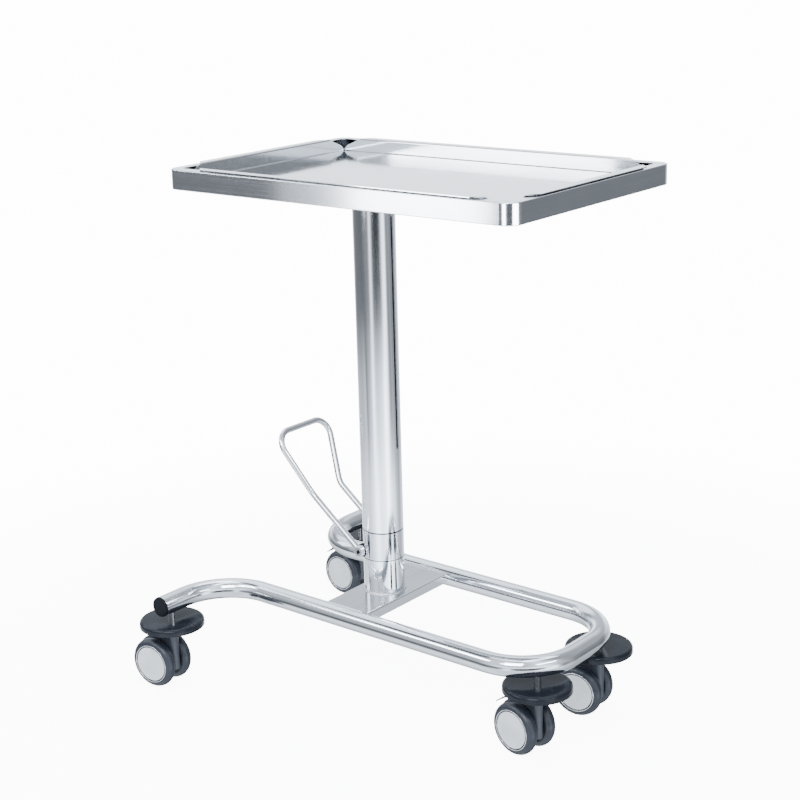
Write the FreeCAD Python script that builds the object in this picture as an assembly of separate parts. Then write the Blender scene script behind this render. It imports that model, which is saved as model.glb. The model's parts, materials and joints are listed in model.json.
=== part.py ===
import FreeCAD, Part
import math
import os

# Hydraulic instrument cart: a lift-out tray pan in a frame on a foot-pumped column, on a bent
# tube base with four twin-wheel casters. Millimetres, +Z up. The origin is on the floor under
# the middle of the bounding box. +X points to the narrow end of the base, -Y to its near side.

Vector = FreeCAD.Vector
X_AXIS = Vector(1, 0, 0)
Y_AXIS = Vector(0, 1, 0)
Z_AXIS = Vector(0, 0, 1)
ORIGIN = Vector(0, 0, 0)

# ---- driving dimensions ----
COLUMN_X = -39.6            # the column axis stands this far from the origin, on Y = 0
WELD_GAP = 0.2              # air between a loose piece and what it rests on
RUNNING = 0.05              # radial clearance of a shaft, piston or guide

# base tube
TUBE_R = 15.3
TUBE_WALL = 1.5
TUBE_Z = 133.8
RUN_Y = 107.2               # half the distance between the long runs
LEG_X = COLUMN_X - 236.5    # the two legs at the wide end
LEG_END_Y = 238.0
LEG_BEND = 86.0
NARROW_X = COLUMN_X + 350.5
NARROW_BEND = 84.0
CAP_THICK = 3.5
CAP_PLUG = 14.0

# cross plate between the long runs
PLATE_X0 = COLUMN_X - 36.0
PLATE_X1 = COLUMN_X + 44.0
PLATE_TOP = 142.5
PLATE_T = 3.0
PLATE_FLANGE = 15.0

# column
COLUMN_R = 30.6
STUB_WALL = 3.0
HOUSING_Z0 = 195.1
HOUSING_Z1 = 238.1
SEAM = 0.6                  # chamfer that makes the dark line between two column pieces
SPIGOT_R = 26.0
SPIGOT_Z1 = 262.0
GUIDE_R = 27.5
GUIDE_Z1 = 730.0
SHROUD_R_IN = 29.1
SHROUD_Z0 = 238.9
SHROUD_Z1 = 742.0
SLOT_WIDTH = 6.1
SLOT_ANGLE = 4.0            # where the guide slot faces, in degrees from +X towards +Y
SLOT_Z0 = 366.0
UPPER_BUSH_Z0 = 708.0
LOWER_BUSH_Z1 = 262.0
KEY_Z = 721.0
KEY_SIZE = (5.7, 10.0)      # across the slot, along the column
STOP_Z0 = 403.0
STOP_Z1 = 418.0
STOP_ANGLE = 236.0
STOP_HALF_ANGLE = 12.0
RIVET_R = 1.4
RIVET_PROUD = 0.5
RIVET_Z = (410.3, 415.3)

# hydraulic cylinder inside the column
CYLINDER_R = 20.0
BORE_R = 18.0
CYLINDER_Z1 = 570.0
GLAND_Z1 = 585.0
ROD_R = 11.0
PISTON_Z0 = 264.0
PISTON_Z1 = 279.0
SEAL_R_IN = 15.5
SEAL_Z0 = 268.5
SEAL_Z1 = 274.5
HEAD_PLUG_Z0 = 734.0
HEAD_Z1 = 751.2
ROD_NECK_R = 6.0

# pump pedal
PIVOT_X = COLUMN_X - 19.8
PIVOT_Z = 205.2
SHAFT_R = 6.0
SHAFT_END_Y = 36.0
SOCKET_R = 3.6
SOCKET_DEPTH = 6.0
BOSS_R = 8.5
BOSS_Y0 = 26.6
BUSH_R = 10.0
BUSH_Y0 = 14.0
BUSH_Y1 = 26.3
PEDAL_ROD_R = 4.7
PEDAL_ARM_Y = 31.5
PEDAL_LOWER_ANGLE = 38.7
PEDAL_LOWER_LENGTH = 117.0
PEDAL_UPPER_ANGLE = 63.0
PEDAL_UPPER_LENGTH = 102.6
PEDAL_TOP_Y = 60.0
PEDAL_KINK_BEND = 34.0
PEDAL_TOP_BEND = 23.0
CAM_REACH = 21.8
CAM_NOSE_R = 4.0
CAM_HALF_WIDTH = 8.0
CAM_RING_R = 10.0
CAM_ARM_HALF = 3.0
POCKET_Z1 = 221.0
PLUNGER_R = 6.0
PLUNGER_Z1 = 232.0
BARREL_Z1 = 252.0
SPRING_WIRE_R = 0.6
SPRING_COILS = 6

# tray frame, a folded channel, and the pan that hangs in it
TRAY_X = COLUMN_X + 76.7
TRAY_TURN = 0.8             # degrees the tray is turned about the column
TRAY_LENGTH = 584.8
TRAY_WIDTH = 383.0
TRAY_TOP = 783.3
BAND_HEIGHT = 28.3
SHEET = 1.2
FLANGE = 16.0
LIP = 12.0
TRAY_CORNER_R = 20.0
FLANGE_CORNER_R = 6.0
FOLD_R = 1.1
PAN_GAP = 1.0               # between the pan's walls and the frame's opening
PAN_SHEET = 1.2
PAN_BEND_R = 2.4            # outside radius of the pan's folds
RIM_LIFT = 1.4              # the rim floats this far above the frame's flange
RIM_INSET = 2.8             # from the frame's outer face to the rim's edge
PAN_DEPTH = 20.0
NOTCH_KNEE = 8.0            # each wall's end rises at 45 degrees up to this height,
CORNER_NOTCH = 34.0         # then slopes back until its top stops this far from the corner

# tray support under the pan
BAR_Y = 55.0
BAR_WIDTH = 30.0
SUPPORT_SIZE = (150.0, 150.0)
SUPPORT_T = 5.0
SCREW_CIRCLE_R = 21.0
SCREW_R = 3.0
SCREW_HEAD_R = 5.5
SCREW_LENGTH = 14.0

# casters
WHEEL_R = 38.0
WHEEL_SHOULDER_R = 31.4
WHEEL_INNER_Y = 8.9
WHEEL_OUTER_Y = 27.1
TRAIL = 24.4
AXLE_R = 4.0
AXLE_END_Y = 22.0
COVER_R = 27.9
COVER_T = 2.2
COVER_RECESS = 0.3
COVER_DISH = 0.5
COVER_SEAT_R = 28.2
HUB_R = 10.0
WEB_Y0 = 13.0
WEB_Y1 = 17.0
RIM_INNER_R = 29.4
YOKE_R = 7.5
YOKE_TOP = 96.4
YOKE_FOOT = 27.0
YOKE_FLARE_R = 11.0
YOKE_FLARE_Z0 = 80.0
HOOD_R = 40.5
HOOD_FOOT_Z = 46.0
STEM_R = 5.5
SPINDLE_R = 4.0
SPINDLE_Z0 = 60.0
COLLAR_R = 10.0
BUMPER_R = 48.6
BUMPER_Z0 = 98.3
BUMPER_Z1 = 108.5
BUMPER_ROUND = 4.5
BUMPER_WALL = 4.0
SOCKET_INSERT_R = 9.0
LEFT_X = COLUMN_X - 236.5
LEFT_Y = 218.0
RIGHT_TURN = 40.2           # where the right casters stand on the narrow end's bends

# brake lever on two of the casters
BRAKE_PIVOT = (-37.0, 71.0)
BRAKE_PIN_R = 2.0
BRAKE_LUG_Y = 3.0
BRAKE_SLOT_Y = 3.4
BRAKE_BLADE_T = 2.6
BRAKE_HALF_WIDTH = 10.5

NARROW_CENTRE_X = NARROW_X - NARROW_BEND
NARROW_CENTRE_Y = RUN_Y - NARROW_BEND
RIGHT_X = NARROW_CENTRE_X + NARROW_BEND * math.cos(math.radians(RIGHT_TURN))
RIGHT_Y = NARROW_CENTRE_Y + NARROW_BEND * math.sin(math.radians(RIGHT_TURN))

# name: (swivel axis x, y, heading of the wheels in degrees, has a brake)
CASTERS = {
    "front_left": (LEFT_X, -LEFT_Y, 5.4, False),
    "back_left": (LEFT_X, LEFT_Y, -3.4, True),
    "front_right": (RIGHT_X, -RIGHT_Y, -8.8, True),
    "back_right": (RIGHT_X, RIGHT_Y, 7.0, False),
}


# ---- small helpers ----
def cylinder(radius, z0, z1, x=COLUMN_X, y=0.0):
    return Part.makeCylinder(radius, z1 - z0, Vector(x, y, z0), Z_AXIS)


def ring(outer, inner, z0, z1, x=COLUMN_X, y=0.0):
    return cylinder(outer, z0, z1, x, y).cut(cylinder(inner, z0, z1, x, y))


def cross_cylinder(radius, y0, y1, x, z):
    """A cylinder along Y, from y0 to y1."""
    return Part.makeCylinder(radius, y1 - y0, Vector(x, y0, z), Y_AXIS)


def box(x0, x1, y0, y1, z0, z1):
    return Part.makeBox(x1 - x0, y1 - y0, z1 - z0, Vector(x0, y0, z0))


def polygon_prism(points, extrusion):
    """A closed outline of 3-D points, extruded along a vector."""
    outline = Part.makePolygon([Vector(*p) for p in points] + [Vector(*points[0])])
    return Part.Face(outline).extrude(extrusion)


def rounded_block(length, width, radius, z0, z1, x=TRAY_X):
    """A block with rounded upright edges, centred on x and Y = 0."""
    block = box(x - length / 2, x + length / 2, -width / 2, width / 2, z0, z1)
    return block.makeFillet(radius, upright_edges(block))


def upright_edges(shape):
    found = []
    for edge in shape.Edges:
        direction = edge.Vertexes[-1].Point - edge.Vertexes[0].Point
        if abs(direction.z) > 1e-6 and abs(direction.x) + abs(direction.y) < 1e-6:
            found.append(edge)
    return found


def level_edges(shape, z, tolerance=0.01):
    """The edges that lie wholly at one height."""
    found = []
    for edge in shape.Edges:
        heights = (edge.BoundBox.ZMin, edge.BoundBox.ZMax)
        if all(abs(height - z) < tolerance for height in heights):
            found.append(edge)
    return found


def bend_corner(before, corner, after, radius):
    """The tangent arc that rounds one corner of a route: (start, middle, end)."""
    to_before = (before - corner).normalize()
    to_after = (after - corner).normalize()
    half_angle = to_before.getAngle(to_after) / 2
    reach = radius / math.tan(half_angle)
    bisector = (to_before + to_after).normalize()
    centre = corner + bisector * (radius / math.sin(half_angle))
    return (corner + to_before * reach, centre - bisector * radius, corner + to_after * reach)


def bent_bar(points, bends, radius):
    """A round bar along straight runs joined by tangent bends."""
    edges = []
    start = points[0]
    for index, bend in enumerate(bends):
        first, middle, last = bend_corner(points[index], points[index + 1], points[index + 2], bend)
        edges.append(Part.LineSegment(start, first).toShape())
        edges.append(Part.Arc(first, middle, last).toShape())
        start = last
    edges.append(Part.LineSegment(start, points[-1]).toShape())
    section = Part.Wire(Part.makeCircle(radius, points[0], points[1] - points[0]))
    return Part.Wire(edges).makePipeShell([section], True, True)


def mirrored(shape):
    """The same shape on the other side of the Y = 0 plane."""
    return shape.mirror(ORIGIN, Y_AXIS)


def save(name, *solids):
    """Writes one node; several separate solids make one group."""
    shape = solids[0] if len(solids) == 1 else Part.makeCompound(list(solids))
    shape.exportStep(os.path.join("parts", name + ".step"))
    bad = "" if shape.isValid() else "  NOT VALID"
    print("%-26s %2d solid(s) %10.0f mm3%s" % (name, len(shape.Solids), shape.Volume, bad))


# ---- base ----
def base_route(radius):
    """The base tube's centreline swept with a round section."""
    corners = [(LEG_X, -LEG_END_Y), (LEG_X, -RUN_Y), (NARROW_X, -RUN_Y)]
    corners += [(x, -y) for x, y in reversed(corners)]
    points = [Vector(x, y, TUBE_Z) for x, y in corners]
    return bent_bar(points, [LEG_BEND, NARROW_BEND, NARROW_BEND, LEG_BEND], radius)


def make_base_tube(outer, bore):
    tube = outer.cut(bore)
    for x, y, _, _ in CASTERS.values():
        tube = tube.cut(cylinder(STEM_R, TUBE_Z - TUBE_R - 1, TUBE_Z, x, y))
    return tube


def make_end_cap():
    """A plastic cap with a rounded face and a plug that grips the tube's bore."""
    face = cross_cylinder(TUBE_R, -LEG_END_Y - CAP_THICK, -LEG_END_Y, LEG_X, TUBE_Z)
    outer_edge = [e for e in face.Edges if abs(e.BoundBox.YMax + LEG_END_Y + CAP_THICK) < 0.01]
    face = face.makeFillet(CAP_THICK * 0.6, outer_edge)
    plug_r = TUBE_R - TUBE_WALL
    plug = cross_cylinder(plug_r, -LEG_END_Y, -LEG_END_Y + CAP_PLUG, LEG_X, TUBE_Z)
    hollow = cross_cylinder(plug_r - TUBE_WALL, -LEG_END_Y, -LEG_END_Y + CAP_PLUG, LEG_X, TUBE_Z)
    clearance = cylinder(SOCKET_INSERT_R + 1, TUBE_Z - TUBE_R, TUBE_Z + TUBE_R, LEFT_X, -LEFT_Y)
    return face.fuse(plug.cut(hollow)).cut(clearance)


def make_cross_plate(outer):
    """A folded plate whose ends are coped to the two long runs."""
    top = box(PLATE_X0, PLATE_X1, -RUN_Y, RUN_Y, PLATE_TOP - PLATE_T, PLATE_TOP)
    flange_z = PLATE_TOP - PLATE_FLANGE
    left = box(PLATE_X0, PLATE_X0 + PLATE_T, -RUN_Y, RUN_Y, flange_z, PLATE_TOP)
    right = box(PLATE_X1 - PLATE_T, PLATE_X1, -RUN_Y, RUN_Y, flange_z, PLATE_TOP)
    folded = top.fuse([left, right]).removeSplitter()
    outside = level_edges(folded, PLATE_TOP)
    outside = [e for e in outside if e.BoundBox.XLength < 0.01]
    folded = folded.makeFillet(PLATE_T * 0.8, outside)
    return folded.cut(outer)


def make_column_stub():
    stub = ring(COLUMN_R, COLUMN_R - STUB_WALL, PLATE_TOP, HOUSING_Z0)
    edges = [e for e in level_edges(stub, HOUSING_Z0) if e.Length > 2 * math.pi * (COLUMN_R - 1)]
    return stub.makeChamfer(SEAM, edges)


# ---- pump ----
def make_pump_housing():
    """The hydraulic block: shaft bore, cam pocket, pump barrel and the guide tube's spigot."""
    block = cylinder(COLUMN_R, HOUSING_Z0, HOUSING_Z1)
    block = block.makeChamfer(SEAM, level_edges(block, HOUSING_Z0) + level_edges(block, HOUSING_Z1))
    block = block.fuse(cylinder(SPIGOT_R, HOUSING_Z1 - SEAM, SPIGOT_Z1))
    pocket_half = CAM_HALF_WIDTH + 1
    pocket_x1 = PIVOT_X + CAM_REACH + CAM_NOSE_R + 2
    block = block.cut(box(PIVOT_X - CAM_RING_R - 1, pocket_x1, -pocket_half, pocket_half,
                          HOUSING_Z0 - 1, POCKET_Z1))
    block = block.cut(cylinder(PLUNGER_R + RUNNING, POCKET_Z1, BARREL_Z1, PIVOT_X + CAM_REACH))
    block = block.cut(cross_cylinder(SHAFT_R + RUNNING, -COLUMN_R, COLUMN_R, PIVOT_X, PIVOT_Z))
    recess = cross_cylinder(BUSH_R, BUSH_Y0, COLUMN_R + 1, PIVOT_X, PIVOT_Z)
    return block.cut(recess).cut(mirrored(recess))


def make_shaft_bush():
    outside = cross_cylinder(BUSH_R, BUSH_Y0, BUSH_Y1, PIVOT_X, PIVOT_Z)
    return outside.cut(cross_cylinder(SHAFT_R + RUNNING, BUSH_Y0, BUSH_Y1, PIVOT_X, PIVOT_Z))


def make_pedal_lever():
    """The bent rod loop with a turned boss welded to each end."""
    lower = math.radians(PEDAL_LOWER_ANGLE)
    upper = math.radians(PEDAL_UPPER_ANGLE)

    def on_lower(distance, y):
        return Vector(PIVOT_X - distance * math.cos(lower), y, PIVOT_Z + distance * math.sin(lower))

    kink = on_lower(PEDAL_LOWER_LENGTH, -PEDAL_ARM_Y)
    top = Vector(kink.x - PEDAL_UPPER_LENGTH * math.cos(upper), -PEDAL_TOP_Y,
                 kink.z + PEDAL_UPPER_LENGTH * math.sin(upper))
    half = [on_lower(SHAFT_R + 1, -PEDAL_ARM_Y), kink, top]
    points = half + [Vector(p.x, -p.y, p.z) for p in reversed(half)]
    bends = [PEDAL_KINK_BEND, PEDAL_TOP_BEND, PEDAL_TOP_BEND, PEDAL_KINK_BEND]
    loop = bent_bar(points, bends, PEDAL_ROD_R)
    boss = cross_cylinder(BOSS_R, BOSS_Y0, SHAFT_END_Y, PIVOT_X, PIVOT_Z)
    rim = [e for e in boss.Edges if abs(e.BoundBox.YMin - SHAFT_END_Y) < 0.01]
    boss = boss.makeFillet(1.0, rim)
    bore = cross_cylinder(SHAFT_R, -SHAFT_END_Y - 1, SHAFT_END_Y + 1, PIVOT_X, PIVOT_Z)
    return loop.fuse([boss, mirrored(boss)]).cut(bore).removeSplitter()


def make_pedal_shaft():
    shaft = cross_cylinder(SHAFT_R, -SHAFT_END_Y, SHAFT_END_Y, PIVOT_X, PIVOT_Z)
    socket = cross_cylinder(SOCKET_R, SHAFT_END_Y - SOCKET_DEPTH, SHAFT_END_Y, PIVOT_X, PIVOT_Z)
    return shaft.cut(socket).cut(mirrored(socket))


def make_pump_cam():
    """A ring on the shaft with a round-nosed arm under the plunger."""
    half = CAM_HALF_WIDTH
    nose_x = PIVOT_X + CAM_REACH
    cam = cross_cylinder(CAM_RING_R, -half, half, PIVOT_X, PIVOT_Z)
    arm = box(PIVOT_X, nose_x, -half, half, PIVOT_Z - CAM_ARM_HALF, PIVOT_Z + CAM_ARM_HALF)
    cam = cam.fuse([arm, cross_cylinder(CAM_NOSE_R, -half, half, nose_x, PIVOT_Z)])
    return cam.cut(cross_cylinder(SHAFT_R, -half, half, PIVOT_X, PIVOT_Z)).removeSplitter()


def make_plunger():
    foot = PIVOT_Z + CAM_NOSE_R + WELD_GAP
    return cylinder(PLUNGER_R, foot, PLUNGER_Z1, PIVOT_X + CAM_REACH)


def make_plunger_spring():
    """The compression spring above the plunger that brings the pedal back up."""
    coil_r = PLUNGER_R - 2 * SPRING_WIRE_R
    z0 = PLUNGER_Z1 + SPRING_WIRE_R
    height = BARREL_Z1 - SPRING_WIRE_R - z0
    helix = Part.makeHelix(height / SPRING_COILS, height, coil_r)
    section = Part.Wire(Part.makeCircle(SPRING_WIRE_R, Vector(coil_r, 0, 0), Y_AXIS))
    spring = Part.Wire(helix).makePipeShell([section], True, True)
    spring.translate(Vector(PIVOT_X + CAM_REACH, 0, z0))
    return spring


# ---- column ----
def slot_cut(width, z0, z1, inner, outer):
    """A radial box through the column wall where the guide slot faces."""
    cut = box(inner, outer, -width / 2, width / 2, z0, z1)
    cut.rotate(ORIGIN, Z_AXIS, SLOT_ANGLE)
    cut.translate(Vector(COLUMN_X, 0, 0))
    return cut


def make_shroud():
    """The polished outer tube with its guide slot, round at the lower end."""
    tube = ring(COLUMN_R, SHROUD_R_IN, SHROUD_Z0, SHROUD_Z1)
    tube = tube.cut(slot_cut(SLOT_WIDTH, SLOT_Z0 + SLOT_WIDTH / 2, SHROUD_Z1, GUIDE_R, COLUMN_R + 1))
    end = Part.makeCylinder(SLOT_WIDTH / 2, COLUMN_R, Vector(GUIDE_R, 0, SLOT_Z0 + SLOT_WIDTH / 2), X_AXIS)
    end.rotate(ORIGIN, Z_AXIS, SLOT_ANGLE)
    end.translate(Vector(COLUMN_X, 0, 0))
    return tube.cut(end)


def make_guide_key():
    across, along = KEY_SIZE
    return slot_cut(across, KEY_Z - along / 2, KEY_Z + along / 2, GUIDE_R + RUNNING,
                    COLUMN_R - 0.5).cut(cylinder(GUIDE_R, HOUSING_Z0, GUIDE_Z1))


def make_upper_bush():
    """A nylon sleeve on the guide tube's top, notched for the key."""
    bush = ring(SHROUD_R_IN - RUNNING, GUIDE_R, UPPER_BUSH_Z0, GUIDE_Z1)
    notch = slot_cut(KEY_SIZE[0] + 1, UPPER_BUSH_Z0, GUIDE_Z1, GUIDE_R - 1, COLUMN_R)
    return bush.cut(notch)


def make_stop_pad():
    """A pad riveted inside the shroud, which meets the upper bush at full height."""
    pad = ring(SHROUD_R_IN, GUIDE_R + 0.4, STOP_Z0, STOP_Z1)
    keep = box(0, COLUMN_R, -COLUMN_R, COLUMN_R, STOP_Z0, STOP_Z1)
    left = keep.copy()
    left.rotate(ORIGIN, Z_AXIS, STOP_ANGLE - 90 + STOP_HALF_ANGLE)
    right = keep.copy()
    right.rotate(ORIGIN, Z_AXIS, STOP_ANGLE + 90 - STOP_HALF_ANGLE)
    wedge = left.common(right)
    wedge.translate(Vector(COLUMN_X, 0, 0))
    return pad.common(wedge)


def make_rivets():
    """Two small rivets through the shroud into the stop pad."""
    rivets = []
    inner = GUIDE_R + 1
    outer = COLUMN_R + RIVET_PROUD
    for z in RIVET_Z:
        rivet = Part.makeCylinder(RIVET_R, outer - inner, Vector(inner, 0, z), X_AXIS)
        tip = [e for e in rivet.Edges if abs(e.BoundBox.XMin - outer) < 0.01]
        rivet = rivet.makeFillet(RIVET_PROUD * 0.8, tip)
        rivet.rotate(ORIGIN, Z_AXIS, STOP_ANGLE)
        rivet.translate(Vector(COLUMN_X, 0, 0))
        rivets.append(rivet)
    return rivets


def drilled(shape, fasteners):
    """The shape with a tight hole for each fastener."""
    for fastener in fasteners:
        shape = shape.cut(fastener)
    return shape


def make_column_head():
    """The turned plug that closes the shroud and carries the tray support."""
    plug = cylinder(SHROUD_R_IN, HEAD_PLUG_Z0, SHROUD_Z1)
    head = plug.fuse(cylinder(COLUMN_R, SHROUD_Z1, HEAD_Z1))
    head = head.cut(cylinder(ROD_NECK_R, HEAD_PLUG_Z0, HEAD_Z1))
    return drilled(head, make_head_screws())


def make_head_screws():
    """Countersunk screws from the support plate down into the column head."""
    screws = []
    top = HEAD_Z1 + SUPPORT_T
    head_height = SCREW_HEAD_R - SCREW_R
    for quarter in range(4):
        angle = math.radians(45 + 90 * quarter + TRAY_TURN)
        x = COLUMN_X + SCREW_CIRCLE_R * math.cos(angle)
        y = SCREW_CIRCLE_R * math.sin(angle)
        cone = Part.makeCone(SCREW_R, SCREW_HEAD_R, head_height, Vector(x, y, top - head_height), Z_AXIS)
        shank = cylinder(SCREW_R, top - SCREW_LENGTH, top - head_height, x, y)
        screws.append(shank.fuse(cone).removeSplitter())
    return screws


def make_piston():
    piston = cylinder(BORE_R - 2 * RUNNING, PISTON_Z0, PISTON_Z1)
    return piston.cut(ring(BORE_R, SEAL_R_IN, SEAL_Z0, SEAL_Z1))


def make_piston_rod():
    rod = cylinder(ROD_R, PISTON_Z1, HEAD_PLUG_Z0)
    return rod.fuse(cylinder(ROD_NECK_R, HEAD_PLUG_Z0, HEAD_Z1)).removeSplitter()


# ---- tray ----
BAND_Z0 = TRAY_TOP - BAND_HEIGHT
RIM_Z0 = TRAY_TOP + RIM_LIFT
RIM_Z1 = RIM_Z0 + PAN_SHEET
FLOOR_Z1 = RIM_Z1 - PAN_DEPTH
FLOOR_Z0 = FLOOR_Z1 - PAN_SHEET
PAN_LENGTH = TRAY_LENGTH - 2 * (FLANGE + PAN_GAP)
PAN_WIDTH = TRAY_WIDTH - 2 * (FLANGE + PAN_GAP)


def turned(shape):
    """A part of the tray, turned with it about the column."""
    shape.rotate(Vector(COLUMN_X, 0, 0), Z_AXIS, TRAY_TURN)
    return shape


def make_tray_frame():
    """A channel folded from sheet: outer band, flange on top, lip below."""
    outside = rounded_block(TRAY_LENGTH, TRAY_WIDTH, TRAY_CORNER_R, BAND_Z0, TRAY_TOP)
    outside = outside.makeFillet(FOLD_R, level_edges(outside, TRAY_TOP) + level_edges(outside, BAND_Z0))
    inside = rounded_block(TRAY_LENGTH - 2 * SHEET, TRAY_WIDTH - 2 * SHEET, TRAY_CORNER_R - SHEET,
                           BAND_Z0 + SHEET, TRAY_TOP - SHEET)
    opening = rounded_block(TRAY_LENGTH - 2 * FLANGE, TRAY_WIDTH - 2 * FLANGE, FLANGE_CORNER_R,
                            TRAY_TOP - SHEET, TRAY_TOP)
    under = rounded_block(TRAY_LENGTH - 2 * LIP, TRAY_WIDTH - 2 * LIP, FLANGE_CORNER_R,
                          BAND_Z0, BAND_Z0 + SHEET)
    return turned(outside.cut(inside).cut(opening).cut(under))


def pan_side(half_length, wall_out, rim_out):
    """One wall with its rim and floor fold, for the side at -Y of a pan centred on the origin."""
    wall_in = wall_out - PAN_SHEET
    fold_in = wall_out - 2 * PAN_BEND_R
    reach = half_length - PAN_BEND_R
    section = [(fold_in, FLOOR_Z0), (wall_out, FLOOR_Z0), (wall_out, RIM_Z0), (rim_out, RIM_Z0),
               (rim_out, RIM_Z1), (wall_in, RIM_Z1), (wall_in, FLOOR_Z1), (fold_in, FLOOR_Z1)]
    side = polygon_prism([(-reach, -y, z) for y, z in section], Vector(2 * reach, 0, 0))
    outer_folds = long_edges(side, wall_out, FLOOR_Z0) + long_edges(side, wall_in, RIM_Z1)
    side = side.makeFillet(PAN_BEND_R, outer_folds)
    inner_folds = long_edges(side, wall_out, RIM_Z0) + long_edges(side, wall_in, FLOOR_Z1)
    side = side.makeFillet(PAN_BEND_R - PAN_SHEET, inner_folds)
    top = half_length - CORNER_NOTCH
    above = RIM_Z1 + PAN_SHEET
    for end in (1, -1):
        wall_cut = [(end * half_length, -rim_out, FLOOR_Z1),
                    (end * (half_length - NOTCH_KNEE), -rim_out, FLOOR_Z1 + NOTCH_KNEE),
                    (end * top, -rim_out, RIM_Z0), (end * top, -rim_out, above),
                    (end * half_length, -rim_out, above)]
        side = side.cut(polygon_prism(wall_cut, Vector(0, rim_out - fold_in, 0)))
        rim_cut = [(end * top, -wall_out, FLOOR_Z1), (end * (top - rim_out + wall_out), -rim_out, FLOOR_Z1),
                   (end * top, -rim_out, FLOOR_Z1)]
        side = side.cut(polygon_prism(rim_cut, Vector(0, 0, above - FLOOR_Z1)))
    return side


def long_edges(shape, y, z, tolerance=0.01):
    """The edges along X at -y and z."""
    found = []
    for edge in shape.Edges:
        box_of = edge.BoundBox
        if max(abs(box_of.YMin + y), abs(box_of.YMax + y), abs(box_of.ZMin - z), abs(box_of.ZMax - z)) < tolerance:
            found.append(edge)
    return found


def make_tray_pan():
    """A shallow pan folded from one sheet, with open notched corners."""
    half_l = PAN_LENGTH / 2
    half_w = PAN_WIDTH / 2
    flat_l = half_l - PAN_BEND_R
    flat_w = half_w - PAN_BEND_R
    floor = box(-flat_l, flat_l, -flat_w, flat_w, FLOOR_Z0, FLOOR_Z1)
    sides = []
    for quarter in range(4):
        long_side = quarter % 2 == 0
        length, out = (half_l, half_w) if long_side else (half_w, half_l)
        frame_side = TRAY_WIDTH if long_side else TRAY_LENGTH
        side = pan_side(length, out, frame_side / 2 - RIM_INSET)
        side.rotate(ORIGIN, Z_AXIS, 90 * quarter)
        sides.append(side)
    pan = floor.fuse(sides).removeSplitter()
    pan.translate(Vector(TRAY_X, 0, 0))
    return turned(pan)


def make_support_bars():
    half = TRAY_LENGTH / 2 - SHEET
    bar = box(TRAY_X - half, TRAY_X + half, BAR_Y - BAR_WIDTH / 2, BAR_Y + BAR_WIDTH / 2,
              BAND_Z0 + SHEET, FLOOR_Z0 - WELD_GAP)
    return turned(mirrored(bar)), turned(bar)


def make_support_plate():
    length, width = SUPPORT_SIZE
    plate = rounded_block(length, width, FLANGE_CORNER_R, HEAD_Z1, BAND_Z0 + SHEET, COLUMN_X)
    return drilled(turned(plate), make_head_screws())


# ---- casters, built with the swivel axis at the origin and the wheels trailing towards -X ----
def place(shape, name):
    x, y, heading, _ = CASTERS[name]
    placed = shape.copy()
    placed.rotate(ORIGIN, Z_AXIS, heading)
    placed.translate(Vector(x, y, 0))
    return placed


def spun(edges):
    """A profile in the (radius, y) plane, turned about the axle."""
    face = Part.Face(Part.Wire(edges))
    face.translate(Vector(-TRAIL, 0, WHEEL_R))
    return face.revolve(Vector(-TRAIL, 0, WHEEL_R), Y_AXIS, 360)


def line_chain(points):
    vectors = [Vector(radius, y, 0) for radius, y in points]
    return [Part.LineSegment(a, b).toShape() for a, b in zip(vectors, vectors[1:])]


def make_wheel():
    """The wheel at +Y: rounded tread, web, hub and the seat for its cover."""
    bore = AXLE_R + RUNNING
    middle = (WHEEL_INNER_Y + WHEEL_OUTER_Y) / 2
    seat_y = WHEEL_OUTER_Y - COVER_T
    profile = [(WHEEL_SHOULDER_R, WHEEL_OUTER_Y), (COVER_SEAT_R, WHEEL_OUTER_Y),
               (COVER_SEAT_R, seat_y), (COVER_SEAT_R - 2, seat_y), (COVER_SEAT_R - 2, WEB_Y1),
               (HUB_R, WEB_Y1), (HUB_R, AXLE_END_Y + 1), (bore, AXLE_END_Y + 1),
               (bore, WHEEL_INNER_Y), (HUB_R, WHEEL_INNER_Y), (HUB_R, WEB_Y0),
               (RIM_INNER_R, WEB_Y0), (RIM_INNER_R, WHEEL_INNER_Y), (WHEEL_SHOULDER_R, WHEEL_INNER_Y)]
    tread = Part.Arc(Vector(WHEEL_SHOULDER_R, WHEEL_INNER_Y, 0), Vector(WHEEL_R, middle, 0),
                     Vector(WHEEL_SHOULDER_R, WHEEL_OUTER_Y, 0)).toShape()
    return spun(line_chain(profile) + [tread])


def make_wheel_cover():
    """A snap-in disc, slightly dished, that closes the wheel's outer side."""
    face_y = WHEEL_OUTER_Y - COVER_RECESS
    disc = cross_cylinder(COVER_R, WHEEL_OUTER_Y - COVER_T, face_y, -TRAIL, WHEEL_R)
    sphere_r = (COVER_R ** 2 + COVER_DISH ** 2) / (2 * COVER_DISH)
    centre_y = face_y - COVER_DISH + sphere_r
    return disc.cut(Part.makeSphere(sphere_r, Vector(-TRAIL, centre_y, WHEEL_R)))


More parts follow.
